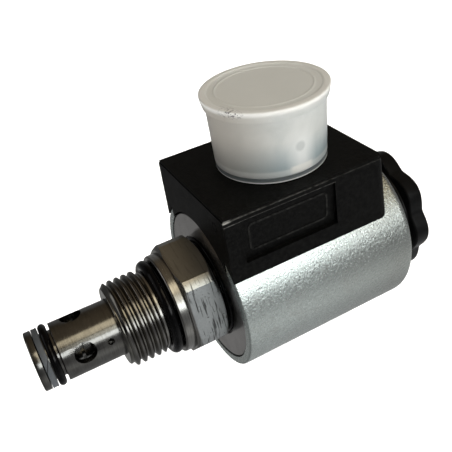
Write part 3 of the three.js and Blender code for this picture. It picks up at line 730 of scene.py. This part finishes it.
# Painted shade: the poppet's steel is a darker copy of the ground steel, for the shade in the ports it sits
# behind.
SHADED_POPPET_STEEL = plain_metal("poppet_steel_painted_shade", (0.1, 0.1, 0.095), (0.24, 0.235, 0.22), 0.24, 5.0, 0.003)
HEX_STEEL = hex_steel()
ZINC_SHELL = zinc_plate()
PLATE_STEEL = plated_disc()
SPRING_STEEL = plain_metal("spring_steel", (0.42, 0.42, 0.43), (0.6, 0.6, 0.6), 0.28)
BRASS = plain_metal("brass", (0.58, 0.42, 0.17), (0.75, 0.58, 0.27), 0.28)
TINNED = plain_metal("tinned_contact", (0.6, 0.58, 0.53), (0.76, 0.74, 0.68), 0.3, 4.0)
COPPER_LEAD = plain_metal("copper_lead", (0.5, 0.2, 0.09), (0.7, 0.33, 0.16), 0.3)
WINDING_WIRE = wound_wire()
BLACK_MOULDING = block_moulding()
NUT_MOULDING = moulding("nut_moulding", (0.002, 0.002, 0.002), (0.005, 0.0053, 0.006), 0.3, 0.012, 0.1, 0.16)
NATURAL_NYLON = moulding("natural_nylon", (0.62, 0.57, 0.46), (0.7, 0.66, 0.56), 0.45, dust=0.0)
BACKUP_PLASTIC = moulding(
    "backup_plastic", (0.07, 0.078, 0.088), (0.1, 0.11, 0.124), 0.36, 0.008, dust=0.05, specular=0.3,
)
SEAL_RUBBER = seal_rubber()
CAP_PLASTIC = cap_plastic()


# ---------- camera, lights, floor ----------
LIGHTS_AIM = Vector((10.0, 0.0, 0.0))  # the coil's front


def direction(azimuth, elevation):
    """The way to a point at an azimuth from +X towards +Y, and an elevation above the level."""
    a, e = math.radians(azimuth), math.radians(elevation)
    return Vector((math.cos(a) * math.cos(e), math.sin(a) * math.cos(e), math.sin(e)))


CAMERA = Named(
    place=(-22.7, -93.4, 81.6), right=(0.8744, -0.4661, -0.1345), up=(0.3656, 0.4508, 0.8143),
    forward=(0.319, 0.7612, -0.5646), lens=48.36, film=36.0, nearest=5.0, furthest=20000.0,
)


def camera():
    lens = bpy.data.cameras.new("camera")
    lens.lens = CAMERA.lens
    lens.sensor_width = CAMERA.film
    lens.clip_start = CAMERA.nearest * MM
    lens.clip_end = CAMERA.furthest * MM
    holder = bpy.data.objects.new("camera", lens)
    pose = Matrix((CAMERA.right, CAMERA.up, -Vector(CAMERA.forward))).transposed().to_4x4()
    pose.translation = Vector(CAMERA.place) * MM
    holder.matrix_world = pose
    bpy.context.scene.collection.objects.link(holder)
    bpy.context.scene.camera = holder


def area_light(name, azimuth, elevation, width, height, radiance, colour, glossy=True, distance=600.0):
    """A flat light that faces the coil's front, as bright as radiance to whoever looks at it."""
    lamp = bpy.data.lights.new(name, "AREA")
    lamp.shape = "RECTANGLE"
    lamp.size = width * MM
    lamp.size_y = height * MM
    lamp.energy = radiance * math.pi * width * MM * height * MM
    lamp.color = colour
    holder = bpy.data.objects.new(name, lamp)
    away = direction(azimuth, elevation)
    holder.location = (LIGHTS_AIM + away * distance) * MM
    holder.rotation_mode = "QUATERNION"
    holder.rotation_quaternion = away.to_track_quat("Z", "Y")
    holder.visible_camera = False
    holder.visible_glossy = glossy
    bpy.context.scene.collection.objects.link(holder)
    return holder


def floor(level):
    reach = 3000.0
    ground = prism("floor", [(-reach, -reach), (reach, -reach), (reach, reach), (-reach, reach)],
                   level - 1.0, level, "z")
    ground.data.materials.append(floor_finish())
    ground.visible_glossy = False
    return ground


def world():
    """A dim studio: brown and dark overhead, light below the horizon, and darker ahead of the nose."""
    studio = bpy.data.worlds.new("studio")
    bpy.context.scene.world = studio
    sky = Nodes(studio)
    looking = sky.split(sky.add("TexCoord", "Generated", {}))
    ramp = sky.nodes.new("ShaderNodeValToRGB")
    sky.links.new(sky.between(looking["Z"], -1.0, 1.0), ramp.inputs["Fac"])
    brown_overhead = [(0.12, 0.1, 0.075), (0.16, 0.125, 0.085), (0.22, 0.175, 0.12)]
    greys = [0.34, 0.36, (0.56, 0.56, 0.55), (0.52, 0.52, 0.51), 0.36, 0.22, 0.22]
    positions = [0.0, 0.08, 0.15, 0.22, 0.3, 0.4, 0.6, 0.75, 0.9, 1.0]  # from straight down to straight up
    colours = [grey if isinstance(grey, tuple) else (grey,) * 3 for grey in greys] + brown_overhead
    stops = list(zip(positions, colours))
    while len(ramp.color_ramp.elements) < len(stops):
        ramp.color_ramp.elements.new(0.5)
    for element, (position, colour) in zip(ramp.color_ramp.elements, stops):
        element.position = position
        element.color = (*colour, 1.0)
    ahead = {"Value": looking["X"], "From Min": -0.25, "From Max": 0.2, "To Min": 0.4}
    background = sky.nodes["Background"]
    sky.feed(background.inputs["Color"], ramp.outputs["Color"])
    sky.feed(background.inputs["Strength"], sky.add("MapRange", "Result", ahead))


def studio_lights(ground):
    area_light("window", -76, 23, 430, 188, 4.0, (0.97, 1.0, 1.0))
    area_light("bounce", -72, 40, 300, 130, 2.2, (1.0, 0.98, 0.85))
    area_light("warm_lamp", -68, 62, 340, 250, 1.95, (1.0, 0.88, 0.65))
    area_light("soft_overhead", -90, 80, 900, 900, 0.55, (1.0, 0.97, 0.93), glossy=False, distance=700.0)
    area_light("rear_fill", 165, 28, 900, 600, 0.5, (1.0, 1.0, 1.0), distance=900.0)
    wash = area_light("floor_wash", -60, 85, 1600, 1600, 3.4, (1.0, 1.0, 1.0), glossy=False, distance=900.0)
    only_floor = bpy.data.collections.new("lit_by_floor_wash")
    only_floor.objects.link(ground)
    wash.light_linking.receiver_collection = only_floor
    wash.light_linking.blocker_collection = only_floor


bpy.context.scene.view_settings.view_transform = "Standard"
bpy.context.scene.view_settings.look = "None"
camera()
world()
studio_lights(floor(level=-40.0))


# ---------- hexagon body ----------
def thread_columns(thread, before, after):
    """A screw thread as columns of (x, radius) points, one column for each angle round the axis.

    Every column has the same points, and the thread's ones move along the axis by one pitch in a turn.
    Points that would pass an end of the thread stop there, where the turning envelope is below the root."""
    pitch, crest, root = thread.pitch, thread.crest, thread.root
    flat, root_flat = THREAD_CREST.flat, THREAD_CREST.root_flat
    tooth = [
        (-flat - THREAD_CREST.break_width, crest - THREAD_CREST.break_drop), (-flat, crest),
        (flat, crest), (flat + THREAD_CREST.break_width, crest - THREAD_CREST.break_drop),
        (pitch / 2 - root_flat, root), (pitch / 2 + root_flat, root),
    ]
    start, end = thread.start, thread.end
    lead_in, run_out = THREAD_ENDS.lead_in, THREAD_ENDS.run_out

    def envelope(x):
        rise = (x - start) / lead_in
        fall = (end - x) / run_out
        return root - 0.1 + (crest - root + 0.1) * max(0.0, min(1.0, rise, fall))

    first = math.floor((start - thread.phase) / pitch) - 1
    last = math.ceil((end - thread.phase) / pitch) + 1
    columns = []
    for k in range(AROUND + 1):
        degrees = FULL_TURN * k / AROUND
        shift = -pitch * (degrees - thread.phase_angle) / FULL_TURN
        column = list(before)
        for turn in range(first, last + 1):
            for along, radius in tooth:
                x = min(max(thread.phase + turn * pitch + along + shift, start), end)
                column.append((x, min(radius, envelope(x))))
        columns.append((degrees, column + list(after)))
    return columns


def threaded(name, thread, before, after):
    """A solid turned piece with a real screw thread. before and after run from and to the axis."""
    columns = thread_columns(thread, before, after)
    rows = len(columns[0][1])
    points = [round_the_axis(x, radius, degrees) for degrees, column in columns for x, radius in column]
    return mesh_object(name, points, strip_faces(len(columns), rows, closed=False))


def hex_prism():
    corner = HEX.half_flats / math.cos(math.radians(30))
    outline = []
    for i in range(6):
        angle = math.radians(HEX.corner_angle + 60 * i)
        outline.append((-corner * math.cos(angle), corner * math.sin(angle)))
    start = COLLAR.end
    solid = prism("hexagon", outline, start - CUT_PAST, HEX.end + CUT_PAST, "x")
    rear = HEX.end - HEX_CHAMFER.rear
    chamfers = turned("chamfers", [
        (start, 0), (start, HEX_CHAMFER.front_radius), (start + HEX_CHAMFER.front, HEX.corner_radius),
        (rear, HEX.corner_radius, HEX_CHAMFER.roll),
        (HEX.end, HEX_CHAMFER.rear_radius, HEX_CHAMFER.roll), (HEX.end, 0),
    ])
    combine(solid, chamfers, "INTERSECT")
    return soften(clean(solid), HEX.edge, angle=16)


def hex_body():
    before = [(THREAD.start, 0.0)]
    collar_end = COLLAR.end + HEX_CHAMFER.front / 2
    after = [
        (THREAD.end + 0.1, LAND.radius - 0.05), (THREAD.end + 0.16, LAND.radius),
        (LAND.end - 0.06, LAND.radius), (LAND.end, LAND.radius - 0.06), (LAND.end, NECK_RADIUS),
        (0.0, NECK_RADIUS),
    ]
    edge_steps = 5
    for k in range(edge_steps + 1):
        turn = math.pi / 2 * k / edge_steps
        drop = COLLAR.edge * (1 - math.sin(turn))
        after.append((COLLAR.edge * (1 - math.cos(turn)), COLLAR.radius - drop))
    after += [(collar_end, COLLAR.radius), (collar_end, 0.0)]
    piece = threaded("hex_body_solid", THREAD, before, after)
    join(piece, hex_prism())
    cut(piece, turned("bore", [
        (THREAD.start - CUT_PAST, 0), (THREAD.start - CUT_PAST, BODY_BORE.front),
        (BODY_BORE.step, BODY_BORE.front), (BODY_BORE.step, BODY_BORE.rear),
        (HEX.end + CUT_PAST, BODY_BORE.rear), (HEX.end + CUT_PAST, 0),
    ]))
    return add(clean(piece, 0.002), "cartridge", HEX_STEEL, "hex_steel", "hex_body")


# ---------- nose ----------
def valve_sleeve():
    tip = SLEEVE_BOX.x0
    seat_end = NOSE.seat + NOSE.seat_radius - NOSE.throat
    piece = turned("sleeve_solid", [
        (tip, NOSE.throat + 0.3), (tip, NOSE.tip_radius, 0.4), (GROOVE.start, NOSE.tip_radius, 0.14),
        (GROOVE.start, GROOVE.radius, 0.15), (GROOVE.end, GROOVE.radius, 0.15),
        (GROOVE.end, NOSE.radius, 0.16), (SLEEVE_FLANGE.start, NOSE.radius),
        (SLEEVE_FLANGE.start, SLEEVE_FLANGE.radius), (SLEEVE_FLANGE.end, SLEEVE_FLANGE.radius),
        (SLEEVE_FLANGE.end, NOSE.bore), (seat_end, NOSE.bore), (seat_end, NOSE.seat_radius),
        (NOSE.seat, NOSE.throat), (tip + 0.3, NOSE.throat),
    ])
    reach = NOSE.radius + 1
    for i in range(PORT.count):
        angle = PORT.angle + FULL_TURN / PORT.count * i
        cut(piece, radial_drill("port", PORT.x, PORT.radius, angle, reach))
    cut(piece, radial_drill("pilot", PILOT_HOLE.x, PILOT_HOLE.radius, PILOT_HOLE.angle, reach))
    soften(clean(piece), 0.09, angle=40)
    return add(piece, "cartridge", TURNED_STEEL, "turned_steel", "valve_sleeve")


def main_poppet():
    """The poppet behind the ports: lands, grooves, and the cone that meets the seat."""
    start, end = POPPET_BOX.x0, POPPET_BOX.x1
    land, nose_land, shank, shank_end = 3.92, 3.2, 3.4, -16.6
    groove, groove_floor = (-18.6, -18.0), 2.75
    balance, balance_floor = (-11.4, -10.8), 3.6
    orifice, pocket, pocket_floor = 0.6, 2.3, -9.0
    cone_start = start - NOSE.seat + NOSE.throat - 0.1
    piece = turned("poppet_solid", [
        (start, orifice), (start, cone_start, 0.1), (start + nose_land - cone_start, nose_land, 0.1),
        (groove[0], nose_land, 0.08), (groove[0], groove_floor), (groove[1], groove_floor),
        (groove[1], shank, 0.08), (shank_end, shank), (shank_end + land - shank, land, 0.1),
        (balance[0], land, 0.06), (balance[0], balance_floor), (balance[1], balance_floor),
        (balance[1], land, 0.06), (end, land, 0.15), (end, pocket), (pocket_floor, pocket),
        (pocket_floor, orifice),
    ])
    # The poppet's steel is painted darker, as shade inside the ports.
    return add(piece, "poppet", SHADED_POPPET_STEEL, "ground_steel", "main_poppet")


def seal_rings():
    for node, ring in SEALS.items():
        piece = torus(node + "_ring", ring["x"], ring["mean"], ring["section"])
        add(piece, ring["body"], SEAL_RUBBER, "seal_rubber", node)


def backup_ring():
    """A flat ring cut across at a slant, so that it can be opened to fit its groove."""
    start, end = BACKUP.start, BACKUP.end
    outline = rounded([
        (start, BACKUP.bore, 0.1), (start, BACKUP.radius, 0.14), (end, BACKUP.radius, 0.14),
        (end, BACKUP.bore, 0.1),
    ])
    points = []
    for k in range(AROUND + 1):
        share = k / AROUND
        for point in outline:
            slant = BACKUP.scarf * ((point.x - start) / (end - start) - 0.5)
            opening = BACKUP.gap_angle + slant
            degrees = opening + BACKUP.gap / 2 + (FULL_TURN - BACKUP.gap) * share
            points.append(round_the_axis(point.x, point.y, degrees))
    piece = capped_strip("backup_ring_cut", points, AROUND + 1, len(outline))
    return add(piece, "cartridge", BACKUP_PLASTIC, "backup_plastic", "nose_backup_ring")


# ---------- coil ----------
def coil_shell():
    start, end, radius = SHELL_BOX.x0, SHELL_BOX.x1, COIL.radius
    inside = radius - COIL.wall
    piece = turned("shell_solid", [
        (start, inside, 0.12), (start, radius, COIL.lip), (end, radius, COIL.corner),
        (end, COIL.bore, 0.2), (end - COIL.wall, COIL.bore), (end - COIL.wall, inside),
    ], around=COIL_AROUND, steps=6)
    cut(piece, box("slot", start - CUT_PAST, SLOT.end, -SLOT.half_width, SLOT.half_width,
                   SLOT.floor, radius + 1))
    soften(clean(piece), 0.1, angle=40)
    return add(piece, "coil", ZINC_SHELL, "zinc_shell", "coil_shell")


def front_pole_plate():
    start, end, radius = PLATE_BOX.x0, PLATE_BOX.x1, PLATE_BOX.z1
    seal_floor = start + PLATE_SEAL.depth
    piece = turned("pole_plate_disc", [
        (start, PLATE_SEAL.radius, 0.1), (start, radius, 0.22), (end, radius), (end, COIL.bore),
        (seal_floor, COIL.bore), (seal_floor, PLATE_SEAL.radius),
    ])
    return add(piece, "coil", PLATE_STEEL, "plate_steel", "front_pole_plate")


def drafted_block(name, low, high, inset=0.0):
    """The block's body between two heights. Its walls lean out downwards, and its rear corners are round."""
    def plan(z):
        drop = (BLOCK.top - z) / (BLOCK.top - BLOCK.bottom)
        half = BLOCK.half_width + DRAFT.side * drop - inset
        end = BLOCK.end + DRAFT.rear * drop - inset
        start = BLOCK_BOX.x0 + inset
        rear = BLOCK.corner
        outline = rounded([(start, -half), (end, -half, rear), (end, half, rear), (start, half)], steps=8)
        return [(point.x, point.y, z) for point in outline]

    return between_outlines(name, plan(low), plan(high))


def block_outline(top):
    """The block's side view, with the shell's round corner let in at its lower rear edge."""
    start, end = BLOCK_BOX.x0, BLOCK.end + DRAFT.rear
    bottom, corner, low = BLOCK.bottom, BLOCK.corner, BLOCK.meets_shell
    outline = [(start, bottom), (end - corner - 1, bottom), (end - corner, low)]
    steps = 8
    for i in range(1, steps + 1):
        angle = math.pi / 2 * i / steps
        outline.append((end - corner + corner * math.sin(angle), low + corner - corner * math.cos(angle)))
    return outline + [(end, top), (start, top)]


def label_frame():
    """A plain raised border in the name recess."""
    margin, line, corner = LABEL_FRAME.margin, LABEL_FRAME.line, LABEL_FRAME.corner
    length = RECESS.x1 - RECESS.x0 - 2 * margin
    height = RECESS.z1 - RECESS.z0 - 2 * margin
    cx, cz = (RECESS.x0 + RECESS.x1) / 2, (RECESS.z0 + RECESS.z1) / 2
    face = -BLOCK.half_width + RECESS.depth
    front, back = face - LABEL_FRAME.proud, face + LABEL_FRAME.root
    outer = rounded_rectangle(cx, cz, length, height, corner)
    inner = rounded_rectangle(cx, cz, length - 2 * line, height - 2 * line, corner - line)
    points = []
    for outline, y in ((outer, back), (outer, front), (inner, front), (inner, back)):
        points += [(x, y, z) for x, z in outline]
    border = mesh_object("label_border", points, ring_faces(4, len(outer)))
    return add(border, "coil", BLACK_MOULDING, "black_moulding", "terminal_housing")


def ejector_mark():
    """A shallow ring left by an ejector pin on the block's front face."""
    def place(x, radius, degrees):
        angle = math.radians(degrees)
        return (x, EJECTOR.y + radius * math.cos(angle), EJECTOR.z + radius * math.sin(angle))

    outside, floor_x = BLOCK_BOX.x0 - 1, BLOCK_BOX.x0 + EJECTOR.depth
    outer, inner = EJECTOR.radius, EJECTOR.radius - EJECTOR.line
    profile = [(outside, outer), (floor_x, outer), (floor_x, inner), (outside, inner)]
    return turned("ejector", profile, SMALL_AROUND, place=place)


def seat_room(radius):
    """A round cutter along the whole block."""
    start, end = BLOCK_BOX.x0 - CUT_PAST, BLOCK_BOX.x1 + CUT_PAST
    return turned("seat_room", [(start, 0), (start, radius), (end, radius), (end, 0)], COIL_AROUND)


def terminal_housing():
    half, top = BLOCK.half_width, BLOCK.top
    parting = top - PARTING.drop
    piece = drafted_block("housing_solid", BLOCK.bottom, parting)
    combine(piece, prism("side_view", block_outline(parting + 1), -half - 1, half + 1, "y"), "INTERSECT")
    join(piece, drafted_block("lid_slab", parting - 1, top, PARTING.step))
    seat = seat_room(BLOCK_SEAT.shell)
    key = BLOCK_SEAT.key_half_width
    # The key stays clear of the plane z = 0, where the turned seat has an edge.
    cut(seat, box("key", BLOCK_BOX.x0 - 1, SLOT.end - 0.2, -key, key,
                  BLOCK.bottom / 2, BLOCK_SEAT.shell + 1))
    cut(piece, seat)
    cut(piece, seat_room(BLOCK_SEAT.inner))
    cut(piece, box("recess", RECESS.x0, RECESS.x1, -half - 1, -half + RECESS.depth,
                   RECESS.z0, RECESS.z1))
    cut(piece, ejector_mark())
    plinth = rounded_rectangle(PLINTH.x, 0, PLINTH.length, PLINTH.width, PLINTH.corner)
    join(piece, prism("plinth", plinth, top - 1, PLINTH.top, "z"))
    hole_bottom = PLINTH.top - SCREW_HOLE.depth
    cut(piece, turned_upright("screw_hole", [
        (0, hole_bottom), (SCREW_HOLE.radius, hole_bottom), (SCREW_HOLE.radius, PLINTH.top + 1),
        (0, PLINTH.top + 1),
    ], PLINTH.x, around=SMALL_AROUND))
    for node in BLADES:
        blade = Box(node)
        gap = BLADE_CLEARANCE
        cut(piece, box("blade_slot", blade.x0 - gap, blade.x1 + gap, blade.y0 - gap, blade.y1 + gap,
                       blade.z0 - gap, PLINTH.top + 1))
    soften(clean(piece), 0.12, angle=32)
    return add(piece, "coil", BLACK_MOULDING, "black_moulding", "terminal_housing")


def connector_cap():
    bottom, top = CAP_BOX.z0, CAP_BOX.z1
    inner = CAP_INSIDE.radius
    foot_top = bottom + CAP_FOOT.height
    root, skirt = CAP.root_radius, CAP.skirt_radius
    recess, bead = CAP_LID.recess, CAP_LID.bead
    piece = turned_upright("cap_shell", [
        (0, top - recess), (bead - CAP_LID.bead_width, top - recess, 0.15),
        (bead, top - recess / 3, 0.15), (bead + CAP_LID.bead_width, top - recess, 0.15),
        (CAP_LID.border - 0.3, top - recess, 0.15), (CAP_LID.border, top, 0.2),
        (CAP.lid_radius, top, 0.4), (CAP.lid_radius, top - 0.6, 0.3),
        (skirt + 0.5, CAP.skirt_top + 0.1, 0.15), (skirt, CAP.skirt_top, 0.15),
        (root + 0.06, foot_top + 0.05, 0.1), (root - 0.08, foot_top - 0.05, 0.1), (root, bottom, 0.12),
        (root - CAP_FOOT.wall, bottom, 0.12), (root - CAP_FOOT.wall, foot_top, 0.1),
        (inner, foot_top + 0.3, 0.1), (inner, CAP_INSIDE.top, 0.6), (0, CAP_INSIDE.top),
    ], CAP.x, around=160)
    return add(piece, "cap", CAP_PLASTIC, "cap_plastic", "connector_cap")


# ---------- nut ----------
def lobed_radius(degrees):
    """The grip's outline: eight broad lobes with scooped valleys between them."""
    wave = 0.5 + 0.5 * math.cos(math.radians(NUT.lobes * (degrees - NUT.lobe_angle)))
    return NUT.valley + (NUT.peak - NUT.valley) * wave ** 0.7


def coil_nut():
    start, end, grip = NUT_BOX.x0, NUT_BOX.x1, NUT.grip_start
    skirt, groove = NUT.skirt, NUT_FACE_GROOVE
    depth = groove.depth
    edge = 0.35
    # Each station is (x, radius of a round row, or None for a lobed row, inset).
    stations = [
        (start + edge, skirt, 0.0),
        (grip - edge, skirt, 0.0),
        (grip - edge / 3, skirt, -edge / 4),
        (grip, None, 2 * edge),
        (grip + edge / 3, None, edge / 2),
        (grip + edge, None, 0.0),
        (end - 2 * edge, None, 0.0),
        (end - edge, None, edge / 3),
        (end - edge / 4, None, edge),
        (end, None, 2 * edge),
        (end, groove.outer, 0.0),
        (end - depth, groove.outer - depth, 0.0),
        (end - depth, groove.inner + depth, 0.0),
        (end, groove.inner, 0.0),
        (end, NUT_BORE.lip + 0.2, 0.0),
        (end - 0.2, NUT_BORE.lip, 0.0),
        (NUT_BORE.lip_start, NUT_BORE.lip, 0.0),
        (NUT_BORE.lip_start, NUT_BORE.insert, 0.0),
        (NUT_BORE.seal_end, NUT_BORE.insert, 0.0),
        (NUT_BORE.seal_end, NUT_BORE.seal, 0.0),
        (start, NUT_BORE.seal, 0.0),
        (start, skirt - edge, 0.0),
        (start + edge / 3, skirt - edge / 4, 0.0),
    ]
    points = []
    for x, radius, inset in stations:
        for k in range(COIL_AROUND):
            degrees = FULL_TURN * k / COIL_AROUND
            reach = (lobed_radius(degrees) if radius is None else radius) - inset
            points.append(round_the_axis(x, reach, degrees))
    piece = mesh_object("nut_moulding", points, ring_faces(len(stations), COIL_AROUND))
    return add(piece, "nut", NUT_MOULDING, "black_moulding", "coil_nut")


def nut_insert():
    start, end, radius = INSERT_BOX.x0, INSERT_BOX.x1, INSERT_BOX.z1
    bore = 6.15
    piece = turned("nut_bush", [
        (start, bore, 0.3), (start, radius, 0.3), (end, radius, 0.3), (end, bore, 0.3),
    ])
    return add(piece, "nut", BRASS, "brass", "nut_insert")


def pole_piece():
    """The fixed core: its spring pocket faces the armature, and its threaded stud takes the nut."""
    face, end = POLE_BOX.x0, POLE_BOX.x1
    pocket, pocket_end, spigot, spigot_end = 3.2, 35.5, 7.2, 34.7
    shoulder, radius = 50.4, 8.8
    before = [
        (pocket_end, 0.0), (pocket_end, pocket), (face, pocket), (face, spigot), (spigot_end, spigot),
        (spigot_end, radius), (shoulder - 0.3, radius), (shoulder, radius - 0.3), (shoulder, STUD.root - 0.1),
    ]
    after = [(end, 1.2), (end - 0.9, 0.0)]
    piece = threaded("pole_core", STUD, before, after)
    return add(piece, "cartridge", TURNED_STEEL, "turned_steel", "pole_piece")


# ---------- return spring ----------
def return_spring():
    """Round wire wound between the armature and the pole piece. The real spring shortens as the armature
    moves back; this mesh keeps one length.
    """
    sides, steps = 12, 180
    first, last = SPRING_BOX.x0 + SPRING.wire, SPRING_BOX.x1 - SPRING.wire
    points = []
    for k in range(steps + 1):
        share = k / steps
        angle = math.tau * SPRING.turns * share
        outward = Vector((0, math.cos(angle), math.sin(angle)))
        centre = Vector((first + (last - first) * share, 0, 0)) + outward * SPRING.mean
        for i in range(sides):
            turn = math.tau * i / sides
            offset = outward * math.cos(turn) + Vector((math.sin(turn), 0, 0))
            points.append(centre + offset * SPRING.wire)
    piece = capped_strip("spring_wire", points, steps + 1, sides)
    shade(piece)
    piece.data.materials.append(SPRING_STEEL)
    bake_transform(piece)
    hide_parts("return_spring")
    return piece


# ---------- CAD pieces that keep their own mesh ----------
CARRIED = {
    "core_tube": TURNED_STEEL,
    "nonmagnetic_ring": BRASS,
    "anti_stick_shim": NATURAL_NYLON,
    "armature": TURNED_STEEL,
    "pilot_pin": GROUND_STEEL,
    "pilot_seat": BRASS,
    "bobbin": NATURAL_NYLON,
    "winding": WINDING_WIRE,
    "contact_blade_front": TINNED,
    "contact_blade_rear": TINNED,
    "earth_blade": TINNED,
    "winding_lead_front": COPPER_LEAD,
    "winding_lead_rear": COPPER_LEAD,
}


def carried_nodes():
    """Gives these nodes their materials. Only the blades get a modifier too, which softens their edges."""
    for node, material in CARRIED.items():
        piece = frame["nodes"][node]
        piece.data.materials.clear()
        piece.data.materials.append(material)
        if node in BLADES:
            bevel(piece, BLADE_EDGE)


hex_body()
valve_sleeve()
main_poppet()
seal_rings()
backup_ring()
coil_shell()
front_pole_plate()
terminal_housing()
label_frame()
connector_cap()
coil_nut()
nut_insert()
pole_piece()
return_spring()
carried_nodes()
